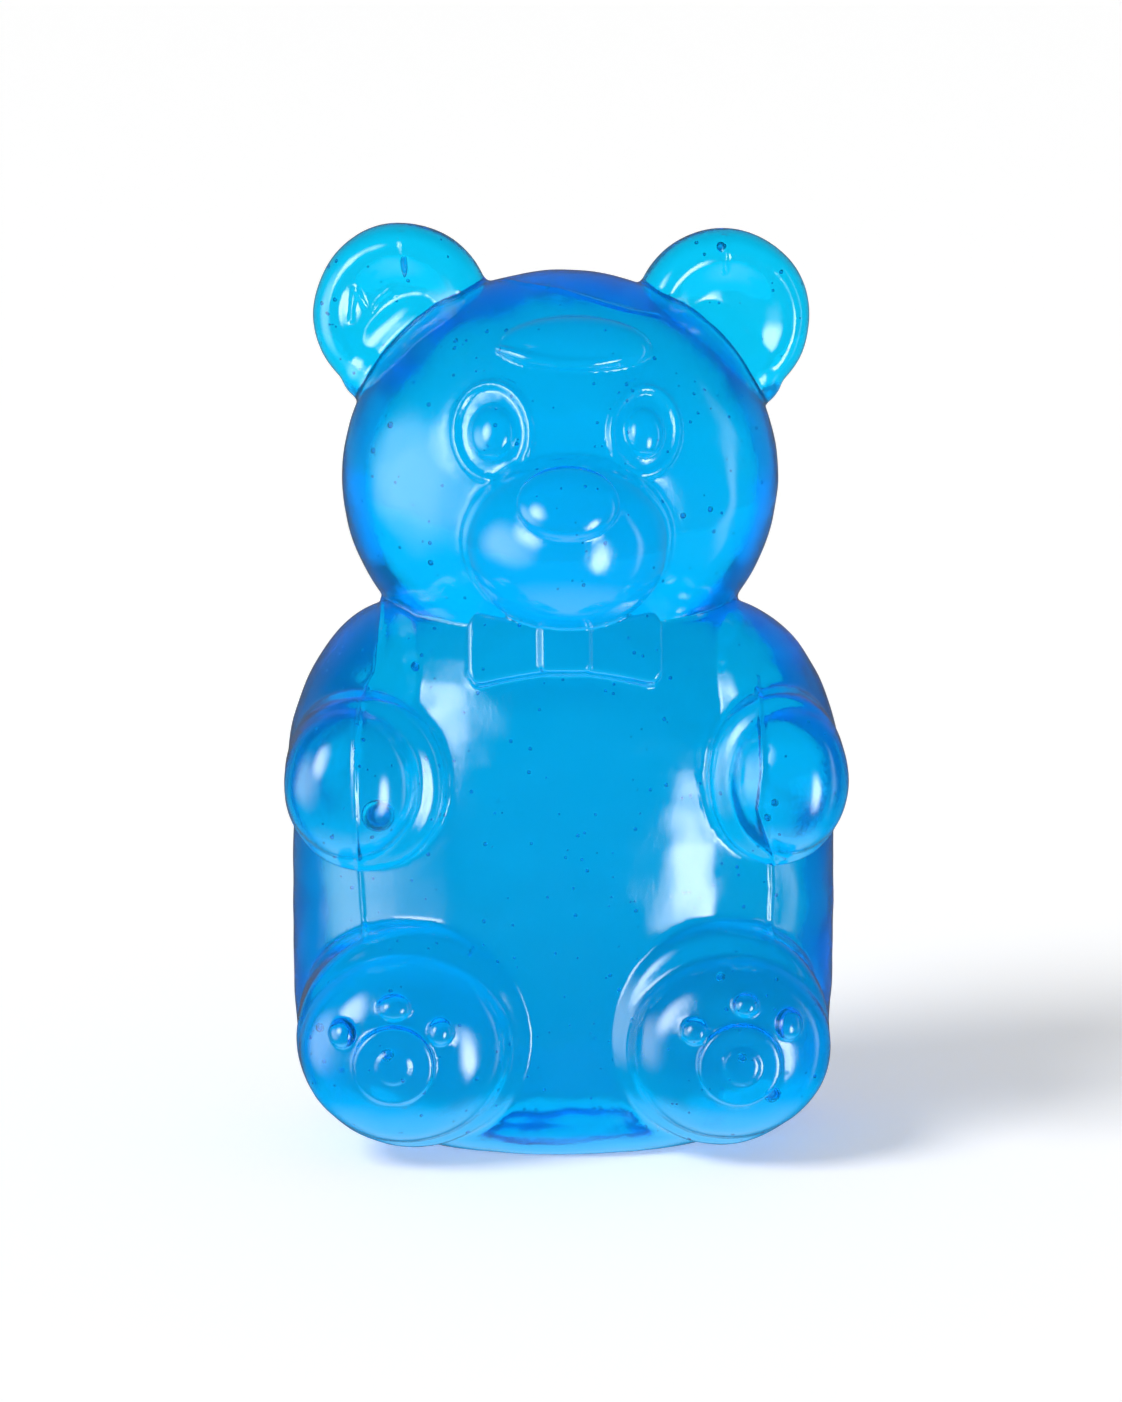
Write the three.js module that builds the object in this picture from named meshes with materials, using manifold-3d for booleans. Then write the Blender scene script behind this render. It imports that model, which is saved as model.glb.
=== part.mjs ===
// A large moulded gummy bear, one solid piece of jelly, in millimetres with +Z up.
// The bear sits upright on a flat base with its face and soles towards -Y.
// Every form is a sphere, lathe or extrusion that is shaped by a rule, and all are joined into one body.
import * as THREE from "three";
import { mergeVertices } from "three/addons/utils/BufferGeometryUtils.js";
import Module from "manifold-3d";

const wasm = await Module();
wasm.setup();

// Driving dimensions. The whole bear is 235 tall, ears included, and 143 wide over the hands.
const TORSO = {
  middle: 58, // height of the widest level
  halfWidth: 71,
  front: 47,
  back: 36,
  above: 90,
  topFullness: 2.8,
  sideReach: 60, // how far the sides would reach under the widest level, before the base is cut flat
  sideFullness: 5,
  frontReach: 61,
  frontFullness: 8,
  sectionFullness: 2.2,
  baseFullness: 1.8, // the section turns from a full oval to this leaner one over the lowest part
  leanBelow: 42,
};
const HEAD = { centre: [-0.8, -2, 170], radii: [56.4, 40, 53.3] };
const MUZZLE = { centre: [0, -36.5, 158.9], radii: [26.4, 24, 22.8] };
const NOSE = { centre: [-0.2, -55, 170.6], radii: [12.8, 4.6, 10], tilt: -32 };
const FORELOCK = { centre: [2, -27.2, 205.8], radii: [19.5, 6.5, 8.8], tilt: -37 };
const EARS = [
  { x: -41.3, z: 211.7, radius: 23.2 },
  { x: 41.1, z: 210.4, radius: 23.0 },
];
const EAR = { y: 4, thickness: 17, rim: 6.2, dishDepth: 4.6, turn: 8 };
const EYES = [
  { x: -18.6, z: 186.1, ring: [9.6, 11.4], pupil: [5.7, 6.9] },
  { x: 19.4, z: 186.1, ring: [8.4, 10.2], pupil: [5.1, 6.4] },
];
const EYE = { rimWire: 1.25, rimRise: 0.7, pupilRise: 2.8, pupilSink: 3 };
const BOW = {
  x: -0.6,
  z: 130.4,
  halfWidth: 24.6,
  endHeight: 18.2,
  waistHeight: 11.4,
  corner: 3.2,
  chest: -37.5, // the chest's front behind the knot
  lean: 16,
  rise: 4.6,
  bulk: 16,
  edge: 1.4,
  knotWidth: 13,
  knotHeight: 12.6,
  knotRise: 1.7,
};
// The swelling that joins each ear to the head, along the line where they meet.
const EAR_ROOTS = [
  { centre: [-39.8, 3.5, 207.3], radii: [20, 7, 9.4], tilt: -38 },
  { centre: [39.4, 3.5, 204.7], radii: [19.4, 7, 9.6], tilt: 41 },
];
// The low rounding where each ear's outer edge runs out on the head.
const EAR_ENDS = [
  { centre: [-50.2, 3.5, 196.8], radii: [8, 8, 8] },
  { centre: [49.6, 3.5, 195.4], radii: [8.2, 8, 8.2] },
];
// Hands, palms, legs and soles are round in front view. Their front is as deep as the second radius, and they reach back
// into the body by the length named back.
const HANDS = [
  { centre: [-51.1, -41, 98.0], radii: [20.5, 8, 22.5], back: 36 },
  { centre: [53.2, -41, 98.7], radii: [17.6, 8, 22.2], back: 36 },
];
const PALMS = [
  { centre: [-54.3, -45, 99.0], radii: [17.2, 13.5, 19.2], back: 30 },
  { centre: [55.6, -45, 99.2], radii: [15.2, 13.5, 18.8], back: 30 },
];
const SHOULDERS = [
  { centre: [-49.6, -7, 108.4], radii: [19.5, 31, 32.5], tilt: 23 },
  { centre: [49.9, -7, 107.6], radii: [19.5, 31, 32.5], tilt: -23 },
];
const LEGS = [
  { centre: [-38.9, -41, 32.4], radii: [30.2, 9.5, 29], back: 38 },
  { centre: [38.9, -41, 32.4], radii: [28.2, 9.5, 29], back: 38 },
];
const SOLES = [
  { centre: [-41.2, -46, 30.9], radii: [27.0, 14.5, 24.8], back: 30 },
  { centre: [41.0, -46, 30.6], radii: [26.0, 14.5, 24.2], back: 30 },
];
// Hands and legs are flat-fronted collars with a steep edge, and a rounder palm or sole rises from each.
const COLLAR_FULLNESS = 4;
const DOME_FULLNESS = 2.4;
const PADS = [
  {
    heel: { x: -44.2, z: 29.5, radius: 10.2 },
    toes: [
      { x: -57.0, z: 37.4, radii: [3.6, 3.8] },
      { x: -43.9, z: 44.2, radii: [4.3, 3.4] },
      { x: -32.4, z: 38.0, radii: [3.3, 3.6] },
    ],
  },
  {
    heel: { x: 43.0, z: 29.0, radius: 10.6 },
    toes: [
      { x: 31.6, z: 37.6, radii: [3.6, 3.5] },
      { x: 44.5, z: 44.2, radii: [3.4, 3.1] },
      { x: 55.4, z: 39.0, radii: [3.7, 4.1] },
    ],
  },
];
const PAD = { heelRise: 2.2, toeRise: 2.0, sink: 3 };
const JELLY = { color: 0x0d9fe8, roughness: 0.12, metalness: 0.0 };

// Manifold solid of a closed three.js geometry, with its shared corners merged and its empty triangles dropped.
function solidOf(geometry) {
  const bare = geometry.clone();
  bare.deleteAttribute("normal");
  bare.deleteAttribute("uv");
  const merged = mergeVertices(bare, 1e-4);
  const kept = [];
  for (let i = 0; i < merged.index.count; i += 3) {
    const [a, b, c] = [0, 1, 2].map((k) => merged.index.getX(i + k));
    if (a !== b && b !== c && c !== a) kept.push(a, b, c);
  }
  return new wasm.Manifold(
    new wasm.Mesh({
      numProp: 3,
      vertProperties: new Float32Array(merged.attributes.position.array),
      triVerts: new Uint32Array(kept),
    }),
  );
}

// Moves every corner of a geometry to where a rule sends it.
function reshape(geometry, rule) {
  const position = geometry.attributes.position;
  const point = new THREE.Vector3();
  for (let i = 0; i < position.count; i++) {
    point.fromBufferAttribute(position, i);
    rule(point);
    position.setXYZ(i, point.x, point.y, point.z);
  }
  return geometry;
}

// A unit ball whose poles lie on the Z axis.
function unitBall(around, upwards) {
  return new THREE.SphereGeometry(1, around, upwards).rotateX(Math.PI / 2);
}

function ellipsoid({ centre, radii }, around, upwards, turnX = 0, turnY = 0) {
  const ball = unitBall(around, upwards).scale(...radii);
  ball.rotateX(THREE.MathUtils.degToRad(turnX));
  ball.rotateY(THREE.MathUtils.degToRad(turnY));
  return solidOf(ball.translate(...centre));
}

// Share of the full radius that a rounded form keeps at a share of its height.
function fullnessAt(share, fullness) {
  return Math.max(1 - Math.abs(share) ** fullness, 0) ** (1 / fullness);
}

// A form that is round in front view, full towards its rim, and longer behind than in front.
function stub({ centre, radii, back }, fullness, around, steps) {
  const ball = unitBall(around, steps).rotateX(Math.PI / 2);
  reshape(ball, (p) => {
    const rim = Math.hypot(p.x, p.z);
    const size = (rim ** fullness + Math.abs(p.y) ** fullness) ** (1 / fullness);
    p.divideScalar(size);
    p.set(p.x * radii[0], p.y * (p.y < 0 ? radii[1] : back), p.z * radii[2]);
  });
  return solidOf(ball.translate(...centre));
}

// Front of a round form at a place in the XZ plane, or its middle plane outside its outline.
function frontOf({ centre, radii }, x, z, fullness = 2) {
  const rim = Math.hypot((x - centre[0]) / radii[0], (z - centre[2]) / radii[2]);
  return centre[1] - radii[1] * fullnessAt(Math.min(rim, 1), fullness);
}

// Shares of the torso's full width and full depth that it has at a height.
function torsoShares(z) {
  const up = z - TORSO.middle;
  if (up > 0) {
    const share = fullnessAt(Math.min(up / TORSO.above, 1), TORSO.topFullness);
    return [share, share];
  }
  return [
    fullnessAt(Math.max(up / TORSO.sideReach, -1), TORSO.sideFullness),
    fullnessAt(Math.max(up / TORSO.frontReach, -1), TORSO.frontFullness),
  ];
}

function sectionFullness(z) {
  const lift = THREE.MathUtils.smoothstep(z, 0, TORSO.leanBelow);
  return THREE.MathUtils.lerp(TORSO.baseFullness, TORSO.sectionFullness, lift);
}

function torso() {
  const below = Math.min(TORSO.sideReach, TORSO.frontReach);
  const ball = reshape(unitBall(34, 22), (p) => {
    const z = TORSO.middle + p.z * (p.z < 0 ? below : TORSO.above);
    const [wide, deep] = torsoShares(z);
    const angle = Math.atan2(p.y, p.x);
    const [c, s] = [Math.cos(angle), Math.sin(angle)];
    const n = sectionFullness(z);
    const reach = (Math.abs(c) ** n + Math.abs(s) ** n) ** (-1 / n);
    const pole = Math.hypot(p.x, p.y) < 1e-6 ? 0 : 1;
    const depth = p.y < 0 ? TORSO.front : TORSO.back;
    p.x = TORSO.halfWidth * wide * reach * c * pole;
    p.y = depth * deep * reach * s * pole;
    p.z = z;
  });
  return solidOf(ball);
}

// A round disc with a rounded rim, a shallow dish in front and a domed back, turned a little outwards.
function ear({ x, z, radius }) {
  const half = EAR.thickness / 2;
  const dishRadius = radius - EAR.rim;
  const profile = [new THREE.Vector2(0, half - EAR.dishDepth)];
  const dishSteps = 4;
  for (let i = 1; i <= dishSteps; i++) {
    const share = i / dishSteps;
    const rise = EAR.dishDepth * (0.5 - 0.5 * Math.cos(Math.PI * share ** 2));
    profile.push(new THREE.Vector2(dishRadius * share, half - EAR.dishDepth + rise));
  }
  const rimSteps = 7;
  for (let i = 1; i < rimSteps; i++) {
    const angle = Math.PI / 2 - (Math.PI * i) / rimSteps;
    profile.push(new THREE.Vector2(dishRadius + EAR.rim * Math.cos(angle), half * Math.sin(angle)));
  }
  profile.push(new THREE.Vector2(dishRadius * 0.8, -half - 0.4), new THREE.Vector2(0, -half - 1));
  profile.reverse();
  const disc = new THREE.LatheGeometry(profile, 28);
  disc.rotateX(Math.PI);
  disc.rotateZ(THREE.MathUtils.degToRad(-Math.sign(x) * EAR.turn));
  return solidOf(disc.translate(x, EAR.y, z));
}

// A low dome with an oval outline that lies on the front of an ellipsoid.
function oval(host, fullness, { x, z }, [across, upwards], rise, sink, around, steps) {
  const ball = reshape(unitBall(around, steps).rotateX(Math.PI / 2), (p) => {
    const out = p.y < 0 ? rise : sink;
    p.set(x + p.x * across, p.y * out, z + p.z * upwards);
    p.y += frontOf(host, p.x, p.z, fullness);
  });
  return solidOf(ball);
}

// An oval ring of round wire that lies on the front of the head.
function eyeRing({ x, z, ring }) {
  const wire = new THREE.TorusGeometry(1, 0.1, 6, 22).rotateX(Math.PI / 2);
  reshape(wire, (p) => {
    const angle = Math.atan2(p.z, p.x);
    const out = ((Math.hypot(p.x, p.z) - 1) / 0.1) * EYE.rimWire;
    const depth = (p.y / 0.1) * EYE.rimWire * 1.6;
    p.x = x + (ring[0] + out) * Math.cos(angle);
    p.z = z + (ring[1] + out) * Math.sin(angle);
    p.y = depth + frontOf(HEAD, p.x, p.z) - EYE.rimRise;
  });
  return solidOf(wire);
}

// The bow tie's outline: two wings that widen from a waist, with round corners and hollow long edges.
function bowOutline() {
  const [w, end, waist, r] = [BOW.halfWidth, BOW.endHeight / 2, BOW.waistHeight / 2, BOW.corner];
  const outline = new THREE.Shape();
  outline.moveTo(0, -waist);
  outline.quadraticCurveTo(w * 0.55, -waist, w - r, -end);
  outline.quadraticCurveTo(w + r * 0.3, -end, w, -end + r);
  outline.quadraticCurveTo(w - r * 0.7, 0, w, end - r);
  outline.quadraticCurveTo(w + r * 0.3, end, w - r, end);
  outline.quadraticCurveTo(w * 0.55, waist, 0, waist);
  outline.quadraticCurveTo(-w * 0.55, waist, -w + r, end);
  outline.quadraticCurveTo(-w - r * 0.3, end, -w, end - r);
  outline.quadraticCurveTo(-w + r * 0.7, 0, -w, -end + r);
  outline.quadraticCurveTo(-w - r * 0.3, -end, -w + r, -end);
  outline.quadraticCurveTo(-w * 0.55, -waist, 0, -waist);
  return outline;
}

function knotOutline() {
  const [w, h, r] = [BOW.knotWidth / 2, BOW.knotHeight / 2, 2];
  const outline = new THREE.Shape();
  outline.moveTo(-w + r, -h);
  outline.lineTo(w - r, -h);
  outline.quadraticCurveTo(w, -h, w, -h + r);
  outline.lineTo(w, h - r);
  outline.quadraticCurveTo(w, h, w - r, h);
  outline.lineTo(-w + r, h);
  outline.quadraticCurveTo(-w, h, -w, h - r);
  outline.lineTo(-w, -h + r);
  outline.quadraticCurveTo(-w, -h, -w + r, -h);
  return outline;
}

// A bevelled plate of an outline that leans back with the chest and stands proud by rise.
function chestPlate(outline, rise) {
  const plate = new THREE.ExtrudeGeometry(outline, {
    depth: BOW.bulk,
    bevelEnabled: true,
    bevelThickness: BOW.edge,
    bevelSize: BOW.edge,
    bevelOffset: -BOW.edge,
    bevelSegments: 2,
    curveSegments: 6,
    steps: 1,
  });
  plate.rotateX(Math.PI / 2).translate(0, BOW.bulk - rise, 0);
  plate.rotateX(THREE.MathUtils.degToRad(-BOW.lean));
  return solidOf(plate.translate(BOW.x, BOW.chest, BOW.z));
}

function bowTie() {
  return chestPlate(bowOutline(), BOW.rise).add(chestPlate(knotOutline(), BOW.rise + BOW.knotRise));
}

function foot(leg, sole, pads) {
  let made = stub(leg, COLLAR_FULLNESS, 24, 12).add(stub(sole, DOME_FULLNESS, 26, 14));
  const heel = [pads.heel.radius, pads.heel.radius];
  made = made.add(oval(sole, DOME_FULLNESS, pads.heel, heel, PAD.heelRise, PAD.sink, 16, 8));
  for (const toe of pads.toes) {
    made = made.add(oval(sole, DOME_FULLNESS, toe, toe.radii, PAD.toeRise, PAD.sink, 10, 6));
  }
  return made;
}

function face() {
  let made = ellipsoid(HEAD, 34, 20).add(ellipsoid(MUZZLE, 24, 16));
  made = made.add(ellipsoid(NOSE, 18, 12, NOSE.tilt));
  made = made.add(ellipsoid(FORELOCK, 26, 12, FORELOCK.tilt));
  for (const eye of EYES) {
    made = made.add(eyeRing(eye));
    made = made.add(oval(HEAD, 2, eye, eye.pupil, EYE.pupilRise, EYE.pupilSink, 12, 8));
  }
  return made;
}

function wholeBear() {
  let bear = torso().add(face()).add(bowTie());
  for (const spot of EARS) bear = bear.add(ear(spot));
  for (const arm of SHOULDERS) bear = bear.add(ellipsoid(arm, 20, 12, 0, arm.tilt));
  for (const root of EAR_ROOTS) bear = bear.add(ellipsoid(root, 16, 9, 0, root.tilt));
  for (const end of EAR_ENDS) bear = bear.add(ellipsoid(end, 10, 6));
  for (const hand of HANDS) bear = bear.add(stub(hand, COLLAR_FULLNESS, 22, 12));
  for (const palm of PALMS) bear = bear.add(stub(palm, DOME_FULLNESS, 20, 10));
  LEGS.forEach((leg, i) => {
    bear = bear.add(foot(leg, SOLES[i], PADS[i]));
  });
  const ground = new THREE.BoxGeometry(400, 400, 100).translate(0, 0, -50);
  return centred(bear.subtract(solidOf(ground)));
}

// Moves a solid so that the middle of the underside of the box round it is the origin.
function centred(solid) {
  const { min, max } = solid.boundingBox();
  return solid.translate([-(min[0] + max[0]) / 2, -(min[1] + max[1]) / 2, -min[2]]);
}

function meshOf(solid, name) {
  const { numProp, numVert, vertProperties, triVerts } = solid.getMesh();
  const positions = new Float32Array(numVert * 3);
  for (let i = 0; i < numVert; i++) {
    positions.set(vertProperties.subarray(i * numProp, i * numProp + 3), i * 3);
  }
  const geometry = new THREE.BufferGeometry();
  geometry.setAttribute("position", new THREE.BufferAttribute(positions, 3));
  geometry.setIndex(new THREE.BufferAttribute(triVerts, 1));
  geometry.computeVertexNormals();
  const mesh = new THREE.Mesh(geometry, new THREE.MeshStandardMaterial(JELLY));
  mesh.name = name;
  return mesh;
}

const group = new THREE.Group();
group.add(meshOf(wholeBear(), "gummy_bear"));

export default group;
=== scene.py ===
# %% [markdown]
# # A giant gummy bear in clear blue jelly
# The real bear is one casting: warm gelatine was poured into a two-part mould and turned out when it had set.
# So it is one closed skin with rounded hollows where the forms meet, thin mould seams, and trapped air.
# This lesson builds that skin from simple forms, melts them together, and lets light pass through it.
# The imported model comes first, because its box is the size that everything here has to keep.

# %% Load the imported model
import math
import random

import bpy
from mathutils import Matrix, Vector


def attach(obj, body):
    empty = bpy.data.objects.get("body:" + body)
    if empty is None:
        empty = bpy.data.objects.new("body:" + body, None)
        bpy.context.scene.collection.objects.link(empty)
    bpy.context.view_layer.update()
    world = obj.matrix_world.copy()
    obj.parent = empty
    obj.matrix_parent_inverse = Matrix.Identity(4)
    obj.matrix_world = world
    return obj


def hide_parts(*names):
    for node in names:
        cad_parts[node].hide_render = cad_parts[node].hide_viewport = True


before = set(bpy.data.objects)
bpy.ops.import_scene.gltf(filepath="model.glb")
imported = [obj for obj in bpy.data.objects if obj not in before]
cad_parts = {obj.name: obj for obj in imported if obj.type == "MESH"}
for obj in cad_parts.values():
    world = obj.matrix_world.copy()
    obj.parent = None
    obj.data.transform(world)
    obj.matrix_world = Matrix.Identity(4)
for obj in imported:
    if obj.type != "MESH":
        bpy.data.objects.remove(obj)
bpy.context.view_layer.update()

# %% [markdown]
# ## Units and small habits
# Sizes are written in millimetres, as a mould maker would, and turned to metres where they reach Blender.
# Operators act on whatever is selected, so each step first selects only the piece it works on.

# %% Millimetres, and helpers that select, add a modifier and join
MM = 0.001
SHIFT = Vector((-0.097, 12.423, 0.0))  # from the mould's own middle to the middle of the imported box


def pick_only(piece):
    bpy.ops.object.select_all(action="DESELECT")
    piece.select_set(True)
    bpy.context.view_layer.objects.active = piece


def settle(piece):
    """Moves a piece's place, turn and scale into its mesh."""
    pick_only(piece)
    bpy.ops.object.transform_apply(location=True, rotation=True, scale=True)
    return piece


def shape_with(piece, kind, **settings):
    """Adds one modifier with its settings and applies it."""
    pick_only(piece)
    bpy.ops.object.modifier_add(type=kind)
    modifier = piece.modifiers[-1]
    for key, value in settings.items():
        setattr(modifier, key, value)
    bpy.ops.object.modifier_apply(modifier=modifier.name)
    return piece


def join(pieces, name):
    pick_only(pieces[0])
    for piece in pieces:
        piece.select_set(True)
    bpy.ops.object.join()
    pieces[0].name = name
    return pieces[0]


# %% [markdown]
# ## The camera
# The photograph looks slightly down on the bear from straight ahead, from about a metre away with a long
# lens. A long lens keeps the near feet from growing larger than the head, as in the photograph.

# %% Camera at the photograph's viewing angle
CAMERA = {"up": 11.0, "aside": -1.5, "distance": 1100.0, "lens": 108.33, "sensor": 36}  # degrees and mm
looks_at = (Vector((-0.5, 0, 110.6)) + SHIFT) * MM
up, aside = math.radians(CAMERA["up"]), math.radians(CAMERA["aside"])
back = Vector((math.sin(aside) * math.cos(up), -math.cos(aside) * math.cos(up), math.sin(up)))
bpy.ops.object.select_all(action="DESELECT")
bpy.ops.object.camera_add(location=looks_at + back * CAMERA["distance"] * MM)
camera = bpy.context.object
camera.rotation_euler = back.to_track_quat("Z", "Y").to_euler()
camera.data.sensor_fit = "VERTICAL"
camera.data.sensor_height = CAMERA["sensor"]
camera.data.lens = CAMERA["lens"]
camera.data.clip_start, camera.data.clip_end = 0.05, 200  # metres
bpy.context.scene.camera = camera
print("camera at", [round(v, 3) for v in camera.location])

# %% [markdown]
# ## Round forms
# Many forms of the bear are balls that were stretched and leaned: head, muzzle, nose and shoulders.
# A ball primitive with many segments is added at its size and place. Its turn and scale are then applied.
# The odd numbers, here and below, were read off the photograph, whose left and right side differ a little.


# %% Balls
def ball(centre, radii, lean=(0, 0, 0), around=96, upwards=48):
    bpy.ops.object.select_all(action="DESELECT")
    bpy.ops.mesh.primitive_uv_sphere_add(
        segments=around,
        ring_count=upwards,
        radius=MM,
        location=Vector(centre) * MM,
        rotation=[math.radians(angle) for angle in lean],
        scale=radii,
    )
    return settle(bpy.context.object)


HEAD = {"centre": (-0.8, -2, 170), "radii": (56.4, 40, 53.3)}
head_and_shoulders = [
    ball(HEAD["centre"], HEAD["radii"], around=144, upwards=72),
    ball((0, -36.5, 158.9), (26.4, 24, 22.8)),  # muzzle
    ball((-49.6, -7, 108.4), (19.5, 31, 32.5), lean=(0, 23, 0)),  # shoulders
    ball((49.9, -7, 107.6), (19.5, 31, 32.5), lean=(0, -23, 0)),
    ball((-49.7, 3.5, 197.2), (7.8, 7.8, 8.6), lean=(0, -14, 0)),  # where an ear's edge runs out
    ball((49.1, 3.5, 195.8), (8, 7.8, 8.8), lean=(0, 14, 0)),
    ball((-39.8, 3.5, 207.3), (20, 7, 9.4), lean=(0, -38, 0)),  # swelling under each ear
    ball((39.4, 3.5, 204.7), (19.4, 7, 9.6), lean=(0, 41, 0)),
]
print(len(head_and_shoulders), "balls for the head, muzzle, shoulders and ear roots")

# %% [markdown]
# ## The body
# The body is fullest low down and rounds in towards the neck and the base, like a sack of jelly.
# Ellipses are stacked at their heights and bridged into one skin. The widths follow a rule with a "fullness":
# 2 gives a plain ellipse, and more gives a straighter side with a tighter round at its end.


# %% How wide and deep the body is at each height
WIDEST = 58  # height of the body's widest level
TO_NECK = {"reach": 90, "fullness": 2.8}
TO_BASE = {"reach": 60, "fullness": 5}  # for the width
TO_BASE_IN_DEPTH = {"reach": 61, "fullness": 8}
LEVELS = [-1.7, -1, 0, 1.5, 3.5, 6, 10, 16, 24, 34, 46]
LEVELS += [58, 70, 82, 92, 101, 109, 116, 122, 128, 133, 138]


def share_left(distance, reach, fullness):
    """Share of the full size that is left at a distance from the widest level."""
    return max(1 - abs(distance / reach) ** fullness, 0) ** (1 / fullness)


def body_shares(height):
    """Shares of the body's full width and depth that it has at a height."""
    distance = height - WIDEST
    if distance > 0:
        return (share_left(distance, **TO_NECK),) * 2
    return share_left(distance, **TO_BASE), share_left(distance, **TO_BASE_IN_DEPTH)


print("at the base the body has", round(body_shares(0)[0], 2), "of its width")


# %% Ellipses stacked into a body
def body(half_width=71, front=47, behind=36):
    rings = []
    for height in LEVELS:
        wide, deep = body_shares(height)
        bpy.ops.object.select_all(action="DESELECT")
        bpy.ops.mesh.primitive_circle_add(
            vertices=112,
            radius=MM,
            location=Vector((0, (behind - front) / 2 * deep, height)) * MM,
        )
        ring = bpy.context.object
        ring.scale = (half_width * wide, (behind + front) / 2 * deep, 1)
        rings.append(settle(ring))
    whole = join(rings, "body_form")
    bpy.ops.object.mode_set(mode="EDIT")
    bpy.ops.mesh.select_all(action="SELECT")
    bpy.ops.mesh.bridge_edge_loops(type="SINGLE")
    bpy.ops.mesh.select_all(action="DESELECT")
    bpy.ops.mesh.select_mode(type="EDGE")
    bpy.ops.mesh.select_non_manifold()
    bpy.ops.mesh.fill_holes(sides=0)
    bpy.ops.mesh.select_mode(type="VERT")
    bpy.ops.mesh.select_all(action="SELECT")
    bpy.ops.mesh.normals_make_consistent(inside=False)
    bpy.ops.object.mode_set(mode="OBJECT")
    return whole


body_form = body()
print("body form:", len(body_form.data.polygons), "faces")

# %% [markdown]
# ## Turned forms
# Hands, legs, soles and ears are round when seen from the front, but aren't plain balls: the limbs are fuller
# towards their rim, and the ears are dished. Each starts as half an outline, extruded point by point,
# and is spun once round the axis that points at the viewer, as on a potter's wheel.


# %% Forms spun from an outline
def spun(outline, steps=80):
    """Spins an outline of (radius, depth) points round the Y axis."""
    points = [Vector((radius, depth, 0)) * MM for radius, depth in outline]
    bpy.ops.object.select_all(action="DESELECT")
    bpy.ops.mesh.primitive_plane_add(size=MM)
    bpy.ops.object.mode_set(mode="EDIT")
    bpy.ops.mesh.merge(type="CENTER")
    bpy.ops.transform.translate(value=points[0])
    for start, end in zip(points, points[1:]):
        bpy.ops.mesh.extrude_vertices_move(TRANSFORM_OT_translate={"value": end - start})
    bpy.ops.mesh.select_all(action="SELECT")
    bpy.ops.mesh.spin(steps=steps, angle=math.tau, center=(0, 0, 0), axis=(0, 1, 0))
    bpy.ops.mesh.select_all(action="SELECT")
    bpy.ops.mesh.remove_doubles(threshold=0.001 * MM)
    bpy.ops.mesh.normals_make_consistent(inside=False)
    bpy.ops.object.mode_set(mode="OBJECT")
    return bpy.context.object


def half_outline(fullness, steps):
    """Half the outline of a ball of radius 1, as (radius, depth) points; a fullness above 2 squares it."""
    for i in range(steps + 1):
        angle = math.pi * (i / steps - 0.5)
        radius = max(math.cos(angle), 0) ** (2 / fullness)
        yield radius, math.copysign(abs(math.sin(angle)) ** (2 / fullness), angle)


def limb(centre, radii, behind, fullness):
    """A round form that is full towards its rim, and reaches further back than forwards."""
    outline = []
    for radius, depth in half_outline(fullness, steps=36):
        outline.append((radius, depth * (radii[1] if depth < 0 else behind)))
    form = spun(outline)
    form.scale = (radii[0], 1, radii[2])
    form.location = Vector(centre) * MM
    return settle(form)


HANDS = [((-51.1, -41, 98.0), (20.5, 8.0, 22.5)), ((53.2, -41, 98.7), (17.6, 8.0, 22.2))]
PALMS = [((-54.3, -45, 99.0), (17.2, 13.5, 19.2)), ((55.6, -45, 99.2), (15.2, 13.5, 18.8))]
LEGS = [((-38.9, -41, 32.4), (30.2, 9.5, 29)), ((38.9, -41, 32.4), (28.2, 9.5, 29))]
SOLES = [((-41.2, -46, 30.9), (27.0, 14.5, 24.8)), ((41.0, -46, 30.6), (26.0, 14.5, 24.2))]
limbs = [limb(centre, radii, behind=36, fullness=4.0) for centre, radii in HANDS + LEGS]
limbs += [limb(centre, radii, behind=30, fullness=2.4) for centre, radii in PALMS + SOLES]
print(len(limbs), "limb forms")


# %% [markdown]
# ## Ears
# Each ear is a thick round plate with a hollow pressed into its front, so it is thinnest in the middle.
# It is turned from an outline like the limbs: the hollow, then the round rim, then a slightly domed back.
# The thin middle lets more light through and looks paler than the rim.


# %% Ears with a dished front
def ear(x, z, radius, thickness=17, rim=6.2, dish=4.6, turned_out=8, dish_steps=10, rim_steps=16):
    half = thickness / 2
    inner = radius - rim
    outline = []
    for i in range(dish_steps + 1):
        share = i / dish_steps
        filled = 0.5 - 0.5 * math.cos(math.pi * share**2)  # 0 in the middle of the dish, 1 at its edge
        outline.append((inner * share, dish - half - dish * filled))
    for i in range(1, rim_steps):
        angle = math.pi / 2 - math.pi * i / rim_steps
        outline.append((inner + rim * math.cos(angle), -half * math.sin(angle)))
    outline += [(inner * 0.8, half + 0.4), (inner * 0.4, half + 0.9), (0, half + 1)]
    form = spun(outline)
    form.rotation_euler.z = math.copysign(math.radians(turned_out), x)
    form.location = Vector((x, 4, z)) * MM
    return settle(form)


ears = [ear(-41.3, 211.7, 23.2), ear(41.1, 210.4, 23.0)]
print(len(ears), "ears")

# %% [markdown]
# ## Melt the large forms together
# In the mould every crease is rounded, because it was cut or pressed with a round tool.
# A voxel remesh makes one closed skin of all the overlapping forms, and two rounds of smoothing then turn
# each sharp crease into a small hollow fillet. Set jelly is never as true as its mould: it shrinks a little
# as it cools. Displacing the skin by a slow cloud noise, under half a millimetre each way, does the same.

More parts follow.
